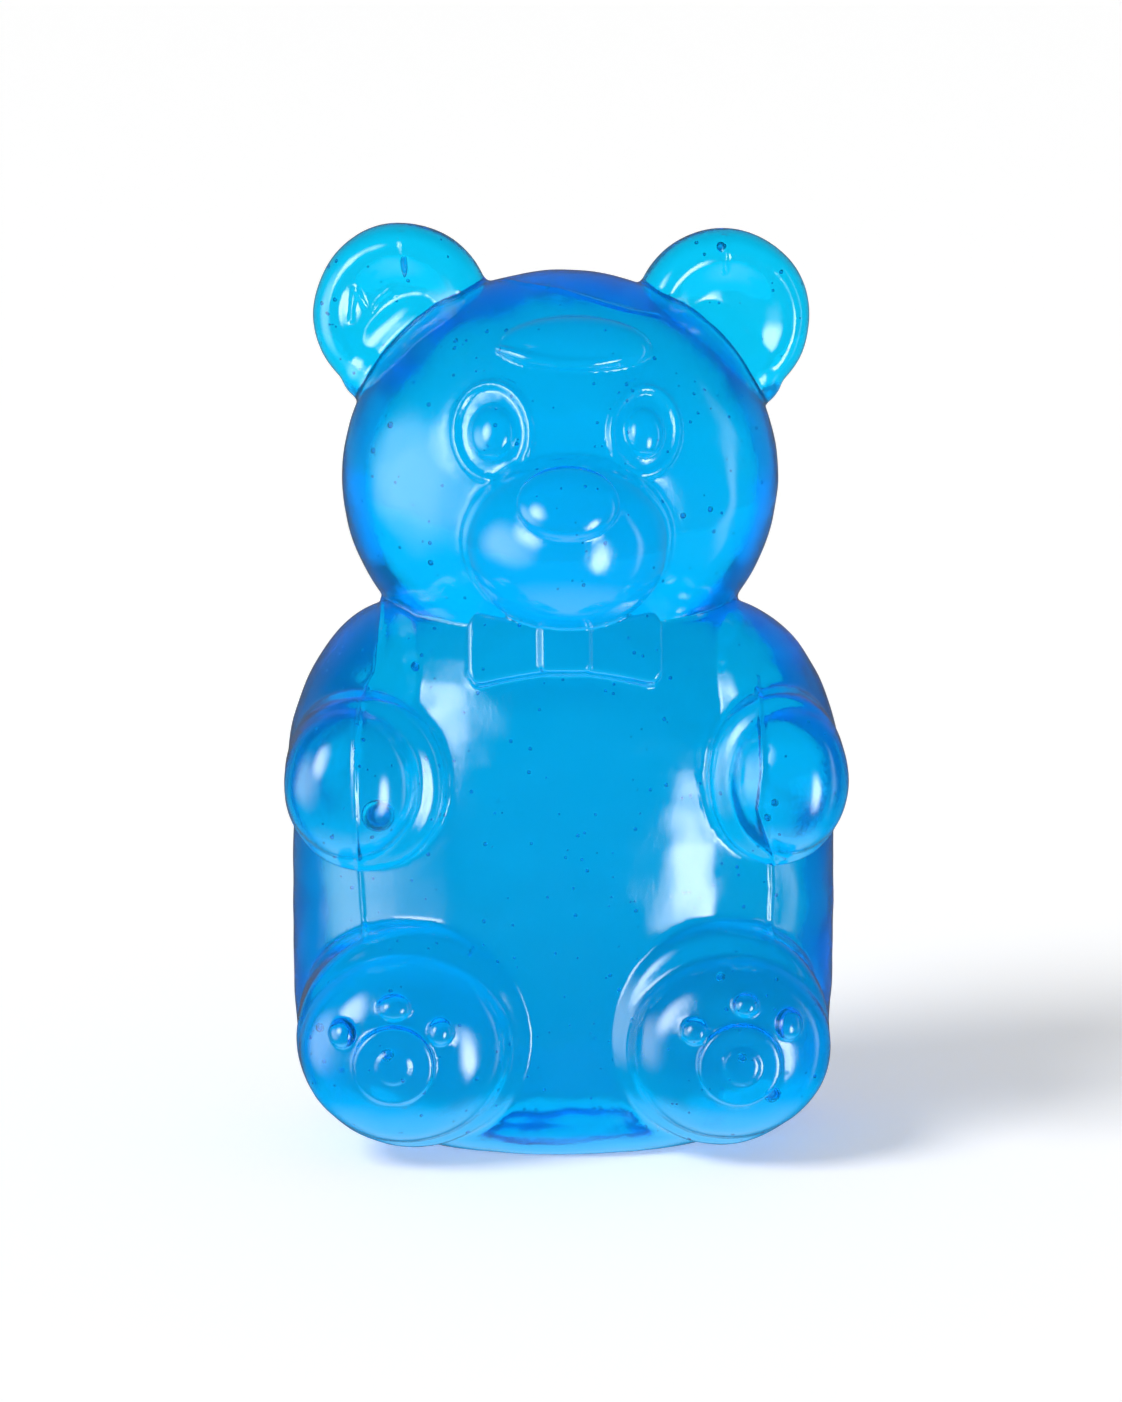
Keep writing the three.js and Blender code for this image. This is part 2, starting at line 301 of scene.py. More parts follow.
# %% One skin from the large forms
rough_voxel = 0.9
bear = join([body_form] + head_and_shoulders + limbs + ears, "gummy_bear_jelly")
shape_with(bear, "REMESH", mode="VOXEL", voxel_size=rough_voxel * MM)
shape_with(bear, "SMOOTH", factor=0.5, iterations=2)
waves = bpy.data.textures.new("slow_waves", type="CLOUDS")
waves.noise_scale = 16 * MM
waves.noise_depth = 1
shape_with(bear, "DISPLACE", texture=waves, texture_coords="LOCAL", strength=0.8 * MM, mid_level=0.5)
print("large forms melted:", len(bear.data.polygons), "faces")

# %% [markdown]
# ## Places on a form
# Pupils, paw pads and seams lie on a larger form, so each needs the place and the outward direction of the
# skin there. A ray is sent from in front of the bear, and where it meets the skin gives both.


# %% Find the skin in front view
def skin_at(x, z, start=-200, towards=1):
    """Place and outward direction of the skin that a ray along Y meets at x, z, all in millimetres."""
    hit, place, normal, _ = bear.ray_cast(Vector((x, start, z)) * MM, Vector((0, towards, 0)))
    return (place / MM, normal) if hit else (None, None)


def facing(normal):
    """Turn that points a form's -Y side along a normal."""
    return (-normal).to_track_quat("Y", "Z").to_euler()


# %% [markdown]
# ## Nose, forelock, eyes and paw pads
# These are low domes and rings that stand a few millimetres proud of the skin.
# The nose and the forelock are leaning balls. A pupil or a pad is spun from half an outline, stretched to its
# size and laid on the skin with its turn. An eye rim is a thick closed wire that follows the head all round.


# %% Small domes and eye rims
def dome(x, z, across, upwards, rise, fullness=2.0):
    """A low dome laid on the skin; a greater fullness gives it a steeper edge and a flatter top."""
    place, normal = skin_at(x, z)
    piece = spun(list(half_outline(fullness, steps=16)), steps=64)
    piece.scale = (across, rise, upwards)
    piece.rotation_euler = facing(normal)
    piece.location = place * MM
    return settle(piece)


def wire(points, radius, closed=False, taper=0.0):
    """A round wire through points in millimetres, made a mesh; a taper of 1 thins its ends to nothing."""
    bpy.ops.object.select_all(action="DESELECT")
    bpy.ops.curve.primitive_nurbs_path_add()
    line_object = bpy.context.object
    line_object.data.splines.clear()
    line = line_object.data.splines.new("POLY")
    line.points.add(len(points) - 1)
    for i, (curve_point, place) in enumerate(zip(line.points, points)):
        curve_point.co = (*(place * MM), 1)
        along = 2 * i / (len(points) - 1) - 1
        curve_point.radius = 1 - taper * along**4
    line.use_cyclic_u = closed
    line_object.data.bevel_depth = radius * MM
    line_object.data.bevel_resolution = 3
    line_object.data.use_fill_caps = not closed
    bpy.ops.object.convert(target="MESH")
    return settle(bpy.context.object)


def on_head(x, z):
    """Place and outward direction on the head's own ball, also where the muzzle covers it."""
    (cx, cy, cz), (rx, ry, rz) = HEAD["centre"], HEAD["radii"]
    across, rise = (x - cx) / rx, (z - cz) / rz
    y = cy - ry * math.sqrt(1 - across**2 - rise**2)
    return Vector((x, y, z)), Vector((across / rx, (y - cy) / ry**2, rise / rz)).normalized()


def eye_rim(x, z, across, upwards, thick=1.25, sunk=0.1, steps=72):
    """An oval ring of round section that lies on the head all the way round."""
    points = []
    for i in range(steps):
        angle = math.tau * i / steps
        place, normal = on_head(x + across * math.cos(angle), z + upwards * math.sin(angle))
        points.append(place - normal * sunk)
    return wire(points, thick, closed=True)


EYES = [  # place, half width and height of the rim, and of the pupil
    (-18.6, 186.1, 9.4, 11.6, 5.7, 6.8),
    (19.4, 186.1, 8.3, 10.4, 5.1, 6.3),
]
PUPIL_RISE = 3.4
PADS = [  # place, half width and height, rise, fullness; a heel has a second disc on it
    (-44.2, 29.5, 10.2, 10.2, 1.5, 5.0),
    (-44.2, 29.5, 5.0, 5.0, 2.3, 4.0),
    (-57.0, 37.4, 3.5, 3.7, 2.6, 2.2),
    (-43.9, 44.2, 4.2, 3.3, 2.6, 2.2),
    (-32.4, 38.0, 3.2, 3.5, 2.6, 2.2),
    (43.0, 29.0, 10.6, 10.6, 1.5, 5.0),
    (43.3, 29.0, 5.2, 5.2, 2.3, 4.0),
    (31.6, 37.6, 3.5, 3.4, 2.6, 2.2),
    (44.5, 44.2, 3.3, 3.0, 2.6, 2.2),
    (55.4, 39.0, 3.6, 4.0, 2.6, 2.2),
]
details = [
    ball((-0.2, -55.4, 170.8), (12.8, 5.2, 10.0), lean=(-32, 0, 0)),  # nose
    ball((2, -27.6, 205.8), (19.5, 7.0, 8.8), lean=(-37, 0, 0)),  # forelock
]
for x, z, across, upwards, pupil_across, pupil_upwards in EYES:
    details.append(eye_rim(x, z, across, upwards))
    details.append(dome(x, z, pupil_across, pupil_upwards, PUPIL_RISE))
for x, z, across, upwards, rise, fullness in PADS:
    details.append(dome(x, z, across, upwards, rise, fullness))
print(len(details), "small forms on the face and soles")

# %% [markdown]
# ## The bow tie
# The bow is a thick plate with sloping sides, and its knot is a second, smaller block over the first.
# A grid is added, each column of its points is stretched to the bow's outline, and the face is made thick.
# A wide bevel then gives the sloping sides that let the casting leave the mould.


# %% Bow tie
def plate(half_width, half_height_at, deep, slope, columns=28, rows=6):
    bpy.ops.object.select_all(action="DESELECT")
    bpy.ops.mesh.primitive_grid_add(
        x_subdivisions=columns,
        y_subdivisions=rows,
        size=2,
        rotation=(math.pi / 2, 0, 0),
    )
    piece = settle(bpy.context.object)
    for point in piece.data.vertices:
        x = point.co.x * half_width
        point.co = Vector((x, 0, point.co.z * half_height_at(x))) * MM
    shape_with(piece, "SOLIDIFY", thickness=deep * MM, offset=0)
    sharp = math.radians(50)
    shape_with(piece, "BEVEL", width=slope * MM, segments=4, limit_method="ANGLE", angle_limit=sharp)
    return piece


def rounded_end(x, half_width, half_height, corner):
    """Half height of a plate with rounded corners at a place along it."""
    past = max(abs(x) - (half_width - corner), 0)
    return half_height - corner + math.sqrt(max(corner**2 - past**2, 0))


WINGS_HALF_WIDTH = 24.6
KNOT_HALF_WIDTH = 6.5


def wing_height(x, end=9.1, waist=5.9, corner=3.2):
    """The wings are narrow at the knot and flare towards their ends."""
    share = min(abs(x) / (WINGS_HALF_WIDTH - corner), 1)
    return rounded_end(x, WINGS_HALF_WIDTH, waist + (end - waist) * share**1.6, corner)


def knot_height(x, half_height=6.3, corner=1.8):
    return rounded_end(x, KNOT_HALF_WIDTH, half_height, corner)


wings = plate(WINGS_HALF_WIDTH, wing_height, deep=17, slope=1.3)
knot = plate(KNOT_HALF_WIDTH, knot_height, deep=21.4, slope=1.2, columns=12)
bow = join([wings, knot], "bow_tie")
bow.location = Vector((-0.6, -35.6, 130.4)) * MM
bow.rotation_euler.x = math.radians(-16)
details.append(settle(bow))
print("bow tie:", len(bow.data.polygons), "faces")

# %% [markdown]
# ## Mould seams
# Jelly creeps a little way into the joints of the mould and sets there as a hair-thin raised line.
# Each seam is a thin wire that follows the skin: points are dropped on the skin from in front,
# and a curve with a round section is run through them and made a mesh.
# The same way gives the creases that the jelly got when it was pulled out, and the lip under the forelock.


# %% Seams
def seam(stations, radius=0.5, proud=0.05, step=1.2, start=-200, towards=1, taper=0.0):
    """A raised line through stations of (x, z)."""
    points = []
    for (x0, z0), (x1, z1) in zip(stations, stations[1:]):
        count = max(2, round(math.hypot(x1 - x0, z1 - z0) / step))
        for i in range(count):
            x, z = x0 + (x1 - x0) * i / count, z0 + (z1 - z0) * i / count
            place, normal = skin_at(x, z, start, towards)
            if place:
                points.append(place + normal * proud)
    return wire(points, radius, taper=taper)


LEFT_SIDE_SEAM = [(-47, 139), (-48.3, 124.7), (-51.6, 119.5), (-53.2, 112.1)]
LEFT_SIDE_SEAM += [(-53.4, 100), (-52.9, 78.7), (-52.1, 65.8), (-51.6, 56)]
RIGHT_SIDE_SEAM = [(48.2, 123.2), (48.3, 112.6), (48.4, 103.7), (47.5, 93.7)]
RIGHT_SIDE_SEAM += [(52.1, 79.5), (52.6, 68), (52.1, 55)]
LEFT_EAR_SEAM = [(-41.4, 233), (-41.0, 228), (-40.4, 222)]
RIGHT_EAR_SEAM = [(41.2, 232), (41.4, 227), (41.8, 221)]
SEAMS = [LEFT_SIDE_SEAM, RIGHT_SIDE_SEAM, LEFT_EAR_SEAM, RIGHT_EAR_SEAM]
EAR_CREASE = [(-54.6, 210.2), (-54.3, 214.5), (-53.5, 218.9), (-49.6, 211.7), (-47.8, 215.5), (-43.2, 219.2)]
HEAD_CREASE = [(-14.9, 221.2), (-1.4, 219.8), (15.8, 214.8), (25.0, 212.7)]
LIP = [(-17.5, 205.8), (-10, 203.6), (-2, 202.5), (6, 202.3), (13, 203.2), (21, 205.8)]
for stations in SEAMS:
    details.append(seam(stations))
for stations in (EAR_CREASE, HEAD_CREASE):
    details.append(seam(stations, radius=0.46))
details.append(seam(LIP, radius=1.8, proud=1.2, taper=0.6))
print(len(SEAMS), "seams, two creases and the forelock's lip")

# %% [markdown]
# ## One fine skin
# The small forms are joined to the melted body and remeshed finer, so that a rim of one millimetre survives.
# The base is cut flat first, so that the bear stands on its whole underside.
# The mesh is then thinned where it is nearly flat, which keeps the piece light enough to export whole.

# %% Join, cut the base flat, remesh finely and thin
TARGET_TRIANGLES = 160_000
bear = join([bear] + details, "gummy_bear_jelly")
bpy.ops.object.mode_set(mode="EDIT")
bpy.ops.mesh.select_all(action="SELECT")
base = (0, 0, 0.1 * MM)
bpy.ops.mesh.bisect(plane_co=base, plane_no=(0, 0, -1), use_fill=True, clear_outer=True)
bpy.ops.object.mode_set(mode="OBJECT")
fine_voxel = 0.45
shape_with(bear, "REMESH", mode="VOXEL", voxel_size=fine_voxel * MM)
shape_with(bear, "SMOOTH", factor=0.5, iterations=3)
faces = 2 * len(bear.data.polygons)
print("fine skin:", faces, "triangles")
if faces > TARGET_TRIANGLES:
    shape_with(bear, "DECIMATE", ratio=TARGET_TRIANGLES / faces, use_collapse_triangulate=True)
print("thinned skin:", len(bear.data.polygons), "faces")

# %% [markdown]
# ## Air in the jelly
# Air that was stirred into the warm gelatine is trapped as it sets: a few bubbles of some millimetres, and
# hundreds of specks. A bubble is a ball-shaped hollow, so its faces point to its middle, away from the jelly.
# It may not touch the skin, so its distance from the nearest skin is measured before it is made.


# %% A hollow, and the room for it
def hollow(centre, radii, subdivisions):
    bpy.ops.object.select_all(action="DESELECT")
    bpy.ops.mesh.primitive_ico_sphere_add(subdivisions=subdivisions, radius=MM, location=Vector(centre) * MM)
    piece = bpy.context.object
    piece.scale = radii
    bpy.ops.object.mode_set(mode="EDIT")
    bpy.ops.mesh.flip_normals()
    bpy.ops.object.mode_set(mode="OBJECT")
    return settle(piece)


def room_at(middle):
    """Distance from a place in the jelly to its nearest skin, in millimetres."""
    nearest = bear.closest_point_on_mesh(middle * MM)[1]
    return (nearest / MM - middle).length


# %% Bubbles that can be told apart
BUBBLES = [  # x, z, radius
    (-47.9, 92.6, 4.0),
    (-38.5, 125.2, 1.3),
    (-62.4, 37.6, 1.2),
    (51.3, 20.5, 2.1),
    (38.4, 50.0, 1.2),
    (51.4, 95.8, 1.0),
    (49.8, 91.8, 1.0),
    (-34.0, 152.4, 0.8),
    (36.1, 165.7, 0.8),
    (40.4, 229.0, 1.2),
    (-45.6, 32.5, 1.6),
    (43.4, 31.3, 1.2),
    (-43.9, 186.2, 0.9),
    (-48.3, 179.4, 0.8),
    (29.1, 164.7, 0.8),
    (-27.5, 207.2, 0.7),
]
CLEAR_OF_SKIN = 0.25
STEP_INWARDS = 0.3
hollows = []
for x, z, radius in BUBBLES:
    middle = skin_at(x, z)[0] + Vector((0, radius, 0))
    while room_at(middle) < radius + CLEAR_OF_SKIN:
        middle.y += STEP_INWARDS
    hollows.append(hollow(middle, (radius,) * 3, subdivisions=4 if radius > 1.5 else 3))
LONG_BUBBLE = {"place": (-40.6, 224.4), "under": 2.4, "radii": (0.8, 0.9, 3.0)}  # on the left ear's seam
middle = skin_at(*LONG_BUBBLE["place"])[0] + Vector((0, LONG_BUBBLE["under"], 0))
hollows.append(hollow(middle, LONG_BUBBLE["radii"], subdivisions=3))
print(len(hollows), "bubbles")

# %% [markdown]
# The specks are strewn by chance. Four in five lie just under the skin, where the jelly in front of them
# doesn't blur them. A speck covers only a few points of the picture, so it has few faces.

# %% Specks
random.seed(20)
SPECKS = 520
SPECK_RADII = (0.25, 0.3, 0.36, 0.44, 0.56)
ACROSS, UPWARDS = (-68, 68), (4, 232)  # where they are strewn
THINNEST = 8  # no specks where the bear is thinner than this
NEAR_SKIN_SHARE = 0.8
JUST_UNDER = (0.15, 0.6)
LEFT_IN_FRONT, LEFT_BEHIND = 1.0, 1.5
SPECK_CLEAR_OF_SKIN = 0.12
wanted = len(hollows) + SPECKS
while len(hollows) < wanted:
    x, z = random.uniform(*ACROSS), random.uniform(*UPWARDS)
    radius = random.choice(SPECK_RADII)
    front, outwards = skin_at(x, z)
    behind, _ = skin_at(x, z, start=200, towards=-1)
    if not front or not behind or behind.y - front.y < THINNEST:
        continue
    just_under = random.uniform(*JUST_UNDER)
    anywhere = random.uniform(LEFT_IN_FRONT, behind.y - front.y - LEFT_BEHIND)
    if random.random() < NEAR_SKIN_SHARE:
        middle = front - outwards * (radius + just_under)
    else:
        middle = front + Vector((0, anywhere, 0))
    if room_at(middle) > radius + SPECK_CLEAR_OF_SKIN:
        hollows.append(hollow(middle, (radius,) * 3, subdivisions=2 if radius > 0.4 else 1))
bear = join([bear] + hollows, "gummy_bear_jelly")
triangles = sum(len(face.vertices) - 2 for face in bear.data.polygons)
print(len(hollows), "hollows; whole piece:", triangles, "triangles")

# %% [markdown]
# ## Into its place
# The forms were placed from the middle of the mould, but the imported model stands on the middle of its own
# box. The bear is moved there. Remeshing and the slow waves leave it a little too full here and there, so it
# is also made a few thousandths smaller, which brings it back inside the box.

# %% Smooth shading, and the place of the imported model
pick_only(bear)
bpy.ops.object.shade_smooth()
bear.location = SHIFT * MM
settle(bear)
FIT = (0.996, 0.992, 0.999)
bear.scale = FIT
settle(bear)
print("size in millimetres:", [round(side / MM, 1) for side in bear.dimensions])

# %% [markdown]
# ## Colours and nodes
# Colours are picked as hex numbers from a screen, which aren't the linear numbers that light adds up in.
# One function turns the first into the second. Another adds a shader node with its settings and its links.


# %% Colour and node helpers
def colour(hex_value):
    """An sRGB hex colour as the linear numbers that shaders use."""
    shares = [int(hex_value[i : i + 2], 16) / 255 for i in (1, 3, 5)]
    linear = [s / 12.92 if s <= 0.04045 else ((s + 0.055) / 1.055) ** 2.4 for s in shares]
    return (*linear, 1.0)


def add_node(owner, kind, settings=None):
    """Adds a node to a material or world. A setting is a value, or a socket of an earlier node to link."""
    node = owner.node_tree.nodes.new(kind)
    for key, value in (settings or {}).items():
        if isinstance(value, bpy.types.NodeSocket):
            owner.node_tree.links.new(value, node.inputs[key])
        elif isinstance(key, str) and hasattr(node, key) and key not in node.inputs:
            setattr(node, key, value)
        else:
            node.inputs[key].default_value = value
    return node


# %% [markdown]
# ## Marks on the skin
# The jelly drags a little along the mould on its way out, which leaves fine marks that run upwards.
# Two noises draw them. A slow one, some seventeen millimetres across, says where the skin is marked and
# hazy, and where it is clear. A finer one gives the marks themselves. The real ones are a few tenths of a
# millimetre apart, too fine for the picture. They are drawn 1.6 millimetres apart, and twice that upwards.

# %% Marks on the skin
PATCH_SIZE = 16.67  # mm
MARK_SIZE = 1.613  # mm
MARK_DEPTH = 0.6  # mm
jelly = bpy.data.materials.new("moulded_blue_gelatine_jelly")
jelly.use_nodes = True
jelly.node_tree.nodes.clear()
here = add_node(jelly, "ShaderNodeTexCoord").outputs["Object"]
patches = add_node(
    jelly,
    "ShaderNodeTexNoise",
    {"Scale": 1 / (PATCH_SIZE * MM), "Detail": 2.0, "Vector": here},
).outputs["Fac"]
drawn_out = add_node(jelly, "ShaderNodeMapping", {"Scale": (1.0, 1.0, 0.45), "Vector": here})
marks = add_node(
    jelly,
    "ShaderNodeTexNoise",
    {
        "Scale": 1 / (MARK_SIZE * MM),
        "Detail": 4.0,
        "Roughness": 0.6,
        "Vector": drawn_out.outputs["Vector"],
    },
)
how_marked = add_node(
    jelly,
    "ShaderNodeMapRange",
    {
        "interpolation_type": "SMOOTHSTEP",
        "Value": patches,
        "From Min": 0.42,
        "From Max": 0.66,
        "To Min": 0.15,
        "To Max": 1.0,
    },
)
relief = add_node(
    jelly,
    "ShaderNodeMath",
    {"operation": "MULTIPLY", 0: marks.outputs["Fac"], 1: how_marked.outputs["Result"]},
)
bumps = add_node(
    jelly,
    "ShaderNodeBump",
    {"Strength": 0.16, "Distance": MARK_DEPTH * MM, "Height": relief.outputs["Value"]},
)
print("marks on the skin are", MARK_SIZE, "mm apart")

# %% [markdown]
# ## The jelly
# Gelatine jelly, cast in a smooth mould: to the eye it is wet and glossy outside, clear blue inside.
# Fine haze blurs what is seen through it, and dye eats the red light first, so the longer the way through the
# bear, the deeper the blue. Volume absorption does that, and thin ears stay pale. The roughness of the body
# gives the haze, and a smooth coat over it the gloss. A little of the light is scattered back before it gets
# through, so not all of it is transmitted. The IOR lies between those of water, 1.33, and dry gelatine, 1.52.

# %% Jelly
JELLY_BLUE = "#12D0F6"  # what the skin leaves of white light
DYE_BLUE = "#00F6FE"  # what the dye lets through
DYE_STRENGTH = 60.0  # per metre
JELLY_IOR = 1.42
LEAST_HAZE, MOST_HAZE = 0.1, 0.16
haze = add_node(
    jelly,
    "ShaderNodeMapRange",
    {"Value": patches, "From Min": 0.3, "From Max": 0.7, "To Min": LEAST_HAZE, "To Max": MOST_HAZE},
)
skin = add_node(
    jelly,
    "ShaderNodeBsdfPrincipled",
    {
        "Base Color": colour(JELLY_BLUE),
        "Roughness": haze.outputs["Result"],
        "Normal": bumps.outputs["Normal"],
        "IOR": JELLY_IOR,
        "Transmission Weight": 0.88,
        "Coat Weight": 1.0,
        "Coat Roughness": 0.03,
        "Coat IOR": JELLY_IOR,
    },
)
dye = add_node(
    jelly,
    "ShaderNodeVolumeAbsorption",
    {"Color": colour(DYE_BLUE), "Density": DYE_STRENGTH},
)
add_node(
    jelly,
    "ShaderNodeOutputMaterial",
    {"Surface": skin.outputs["BSDF"], "Volume": dye.outputs["Volume"]},
)
bear.data.materials.clear()
bear.data.materials.append(jelly)
print(jelly.name, "has", len(jelly.node_tree.nodes), "nodes")

# %% [markdown]
# ## The surface
# The bear stands on plain white paper that runs far back, so that it has no edge or horizon in the picture.
# Matt paper mirrors nothing and shows only the soft shadow.

# %% Sheet of paper
bpy.ops.object.select_all(action="DESELECT")
bpy.ops.mesh.primitive_plane_add(size=60, location=(0, 0, -0.2 * MM))
floor = settle(bpy.context.object)
floor.name = "studio_floor"
floor.visible_glossy = False
print(floor.name, "is", round(floor.dimensions.x), "metres wide")

# %% [markdown]
# The paper glows a little, as it would in a studio where light also comes from its sides. Jelly bends light,
# so a good deal of what is seen through it is paper. For those rays a painted shadow dims the paper's glow
# behind the bear, and further away it is bright. Right beneath the bear a painted pool of light stands in for
# the light that the jelly gathers. Only rays that come through the jelly are shown that painted shadow and
# light. It makes the feet a deeper blue and keeps the outline from going black.

# %% Paper, as the camera sees it and with painted shadow and light as the jelly shows it
PAPER_WHITE = "#FCFCFC"
GLOW = 0.28  # as the camera sees it
paper = bpy.data.materials.new("matt_white_studio_paper")
paper.use_nodes = True
paper.node_tree.nodes.clear()
on_paper = add_node(paper, "ShaderNodeTexCoord").outputs["Object"]
distance = add_node(paper, "ShaderNodeVectorMath", {"operation": "LENGTH", 0: on_paper}).outputs["Value"]
# Painted shadow: the glow seen through the jelly is dim near the bear and rises further away.
painted_shadow_behind_bear = add_node(  # distances from the bear's middle are in metres
    paper,
    "ShaderNodeMapRange",
    {"Value": distance, "From Min": 0.12, "From Max": 0.6, "To Min": 0.02, "To Max": 0.42},
)
# Painted pool of light: the glow seen through the jelly is raised right beneath the bear.
painted_light_beneath_bear = add_node(
    paper,
    "ShaderNodeMapRange",
    {"Value": distance, "From Min": 0.03, "From Max": 0.09, "To Min": 0.6, "To Max": 0.0},
)
# The painted shadow and the painted light beneath the bear, added together.
painted_shadow_and_light = add_node(
    paper,
    "ShaderNodeMath",
    {"operation": "ADD", 0: painted_shadow_behind_bear.outputs["Result"], 1: painted_light_beneath_bear.outputs["Result"]},
)
paper_rays = add_node(paper, "ShaderNodeLightPath").outputs
# Camera rays get the even glow; rays through the jelly get the painted shadow and light instead.
glow = add_node(
    paper,
    "ShaderNodeMapRange",
    {
        "Value": paper_rays["Is Transmission Ray"],
        "To Min": GLOW,
        "To Max": painted_shadow_and_light.outputs["Value"],
    },
)
sheet = add_node(
    paper,
    "ShaderNodeBsdfPrincipled",
    {
        "Base Color": colour(PAPER_WHITE),
        "Roughness": 0.9,
        "Emission Color": (1, 1, 1, 1),
        "Emission Strength": glow.outputs["Result"],
    },
)
add_node(paper, "ShaderNodeOutputMaterial", {"Surface": sheet.outputs["BSDF"]})
floor.data.materials.append(paper)
print(paper.name, "has", len(paper.node_tree.nodes), "nodes")

# %% [markdown]
# ## How the picture is worked out
# Light may go in and out of the jelly and the bubbles in it many times, so it is allowed more bounces than
# the usual twelve. The plain view transform keeps the colours as they were picked.

# %% Bounces and view transform
BOUNCES = 22
scene = bpy.context.scene
scene.cycles.max_bounces = scene.cycles.transmission_bounces = BOUNCES
scene.view_settings.view_transform = "Standard"
print(BOUNCES, "bounces")

# %% [markdown]
# ## The studio
# A glossy, clear thing shows its surroundings twice: mirrored on its skin, and bent through its body.
# The mirrored part is dark but for a few soft lamps, so that the blue stays deep between clear highlights.
# A lamp is drawn into the world as a bright oval. The direction of each ray is turned and stretched so that
# the lamp becomes a circle, and its distance from the circle's middle says how bright it is.

# %% A soft lamp in the mirrored studio
world = bpy.data.worlds.new("white_studio")
scene.world = world
world.use_nodes = True
world.node_tree.nodes.clear()
direction = add_node(world, "ShaderNodeTexCoord").outputs["Generated"]


def soft_lamp(light_so_far, aside, up, half_width, half_height, soft, strength):
    """Adds a soft-edged oval in front of the bear to the light so far; places and sizes are in degrees."""
    turned = add_node(
        world,
        "ShaderNodeMapping",
        {
            "vector_type": "TEXTURE",
            "Rotation": (math.radians(-up), 0, math.radians(aside)),
            "Scale": (math.sin(math.radians(half_width)), 1, math.sin(math.radians(half_height))),
            "Vector": direction,
        },
    )
    axes = add_node(world, "ShaderNodeSeparateXYZ", {"Vector": turned.outputs["Vector"]}).outputs
    flat = add_node(world, "ShaderNodeCombineXYZ", {"X": axes["X"], "Z": axes["Z"]}).outputs["Vector"]
    from_middle = add_node(world, "ShaderNodeVectorMath", {"operation": "LENGTH", 0: flat})
    oval = add_node(
        world,
        "ShaderNodeMapRange",
        {
            "interpolation_type": "SMOOTHSTEP",
            "Value": from_middle.outputs["Value"],
            "From Min": 1 - soft,
            "From Max": 1 + soft,
            "To Min": strength,
            "To Max": 0.0,
        },
    )
    ahead = add_node(world, "ShaderNodeMath", {"operation": "LESS_THAN", 0: axes["Y"], 1: 0.0})
    lit = add_node(
        world,
        "ShaderNodeMath",
        {
            "operation": "MULTIPLY_ADD",
            0: oval.outputs["Result"],
            1: ahead.outputs["Value"],
            2: light_so_far,
        },
    )
    return lit.outputs["Value"]


# %% [markdown]
# A large lamp on the left gives the glow on the cheek, and one next to it lights the chest. A narrow one low
# on the right draws the streak on the belly, and a strip far right picks out the edges that face away from
# the others. Straight below, the pale surface is mirrored, which draws thin lines under the nose, the bow and
# the collars. Straight behind, there is a little light from the backdrop.

# %% What the skin mirrors
LAMPS = [  # aside, up, half width, half height, softness, strength
    (-68, -3, 24, 19, 0.6, 2.8),  # glow on the cheek
    (-41, 17, 11, 14, 0.7, 9.0),  # chest
    (36, -15, 8, 14, 0.55, 11.0),  # streak on the belly
    (82, -2, 4, 24, 0.6, 1.4),  # edges that face right
]
along = add_node(world, "ShaderNodeSeparateXYZ", {"Vector": direction}).outputs
backdrop = add_node(
    world,
    "ShaderNodeMapRange",
    {
        "interpolation_type": "SMOOTHSTEP",
        "Value": along["Y"],
        "From Min": 0.2,
        "From Max": 1.0,
        "To Min": 0.0,
        "To Max": 0.1,
    },
)
below = add_node(
    world,
    "ShaderNodeMapRange",
    {
        "interpolation_type": "SMOOTHSTEP",
        "Value": along["Z"],
        "From Min": -0.97,
        "From Max": -0.7,
        "To Min": 0.8,
        "To Max": 0.0,
    },
)
surroundings = add_node(
    world,
    "ShaderNodeMath",
    {"operation": "ADD", 0: backdrop.outputs["Result"], 1: below.outputs["Result"]},
)
mirrored = surroundings.outputs["Value"]
for lamp_settings in LAMPS:
    mirrored = soft_lamp(mirrored, *lamp_settings)
print(len(LAMPS), "lamps in the mirrored studio")

# %% [markdown]
# The part of the studio that is seen through the jelly is white behind the bear, and bluer and stronger to
# its sides. That keeps light in the rims, where the way through the jelly is longest.

# %% What is seen through the jelly
SIDES_BLUE = "#A4DCFF"
BACKDROP_WHITE = "#FFFFFF"
how_far_back = add_node(
    world,
    "ShaderNodeMapRange",
    {
        "interpolation_type": "SMOOTHSTEP",
        "Value": along["Y"],
        "From Min": -0.5,
        "From Max": 0.8,
        "To Min": 0.0,
        "To Max": 1.0,
    },
)
tint = add_node(  # inputs 6 and 7 and output 2 are the colours of a mix node
    world,
    "ShaderNodeMix",
    {
        "data_type": "RGBA",
        "Factor": how_far_back.outputs["Result"],
        6: colour(SIDES_BLUE),
        7: colour(BACKDROP_WHITE),
    },
)
brightness = add_node(
    world,
    "ShaderNodeMapRange",
    {
        "interpolation_type": "SMOOTHSTEP",
        "Value": along["Y"],
        "From Min": -0.1,
        "From Max": 0.85,
        "To Min": 2.0,
        "To Max": 1.3,
    },
)
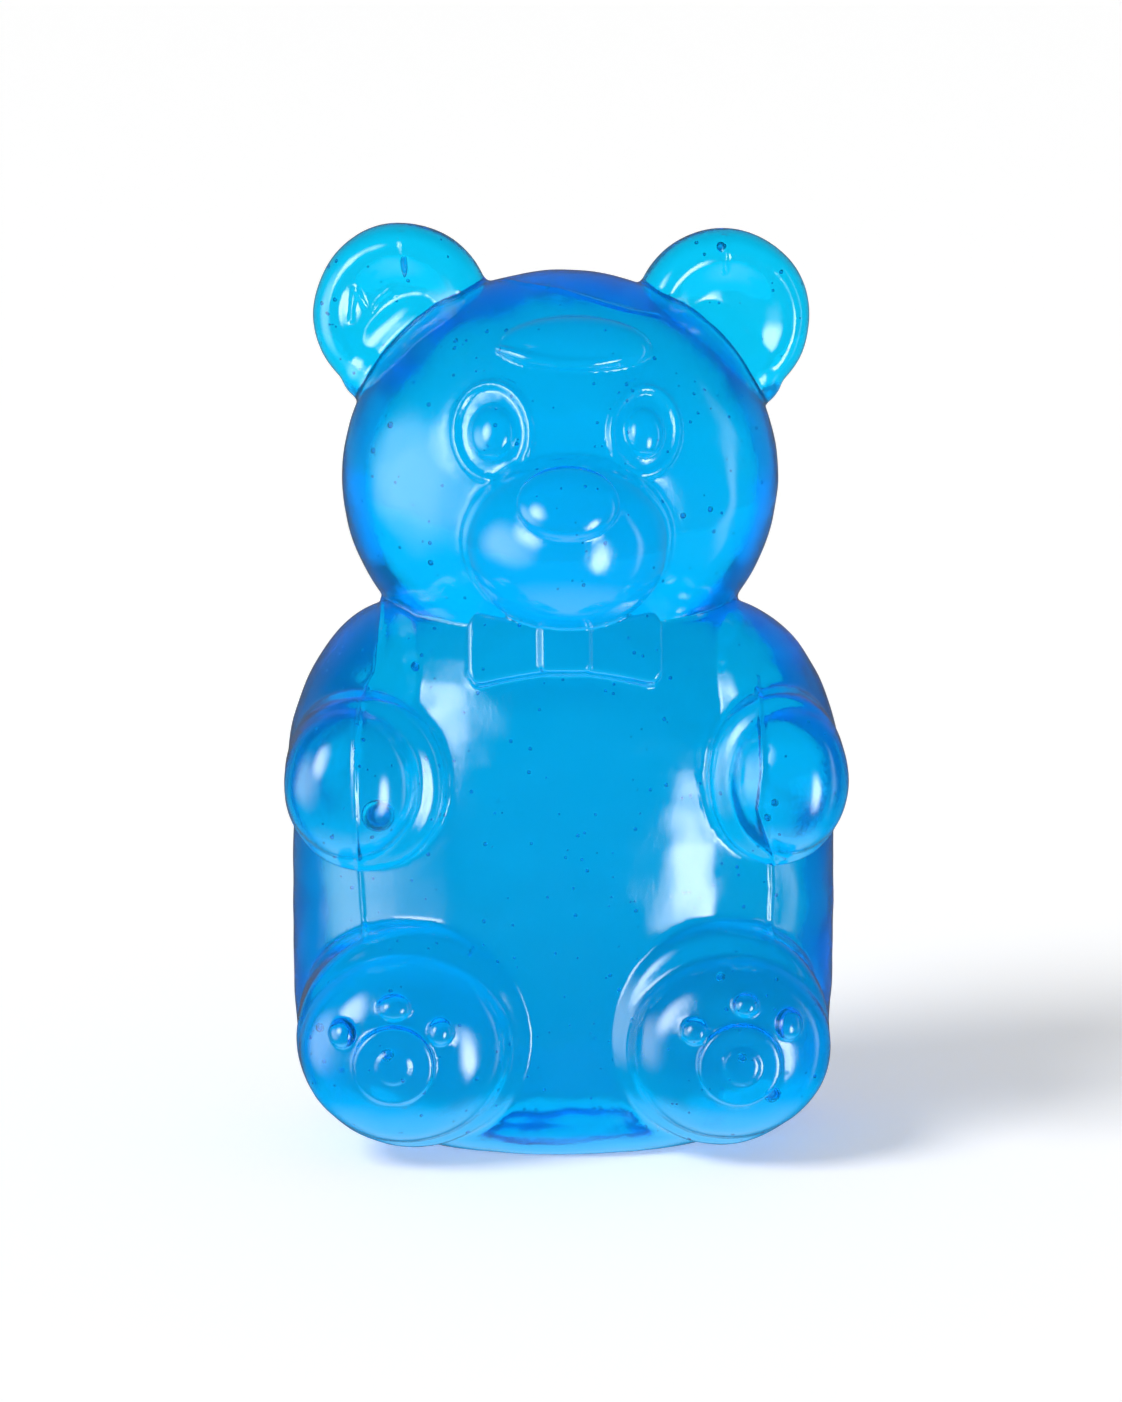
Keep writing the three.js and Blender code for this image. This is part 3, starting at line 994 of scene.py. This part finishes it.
seen_through = add_node(
    world,
    "ShaderNodeBackground",
    {"Color": tint.outputs[2], "Strength": brightness.outputs["Result"]},
)

# %% [markdown]
# The picture's own background is plain white, and what the paper and the jelly's haze receive is a weaker
# white from all round. The kind of each ray chooses between these, the mirrored studio and the one seen
# through the jelly.

# %% Which studio each ray meets
FILL_LIGHT = 0.36
rays = add_node(world, "ShaderNodeLightPath").outputs
direct = add_node(world, "ShaderNodeMath", {"operation": "MAXIMUM", 0: rays["Is Camera Ray"], 1: FILL_LIGHT})
strength = add_node(  # inputs 2 and 3 are the plain numbers of a mix node
    world,
    "ShaderNodeMix",
    {"data_type": "FLOAT", "Factor": rays["Is Glossy Ray"], 2: direct.outputs["Value"], 3: mirrored},
)
around = add_node(
    world,
    "ShaderNodeBackground",
    {"Color": (1, 1, 1, 1), "Strength": strength.outputs["Result"]},
)
either = add_node(
    world,
    "ShaderNodeMixShader",
    {
        "Fac": rays["Is Transmission Ray"],
        1: around.outputs["Background"],
        2: seen_through.outputs["Background"],
    },
)
add_node(world, "ShaderNodeOutputWorld", {"Surface": either.outputs["Shader"]})
print(world.name, "has", len(world.node_tree.nodes), "nodes")

# %% [markdown]
# ## The shadow
# The photograph has one soft shadow, to the right of the bear and a little behind it. A broad sun from the
# front left draws it. Its angle of 24 degrees is as wide as a large soft box, and it isn't seen mirrored.

# %% Lamp that draws the shadow
FRONT_LEFT = Vector((-0.8, -0.45, 0.9))
bpy.ops.object.select_all(action="DESELECT")
bpy.ops.object.light_add(type="SUN", location=FRONT_LEFT)
lamp = bpy.context.object
lamp.data.energy = 1.9
lamp.data.angle = math.radians(24)
lamp.rotation_euler = FRONT_LEFT.to_track_quat("Z", "Y").to_euler()
lamp.visible_glossy = lamp.visible_transmission = False
print("sun of", lamp.data.energy, "watts per square metre")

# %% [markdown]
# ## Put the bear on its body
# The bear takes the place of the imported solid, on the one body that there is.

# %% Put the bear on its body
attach(bear, "root")
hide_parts("gummy_bear")
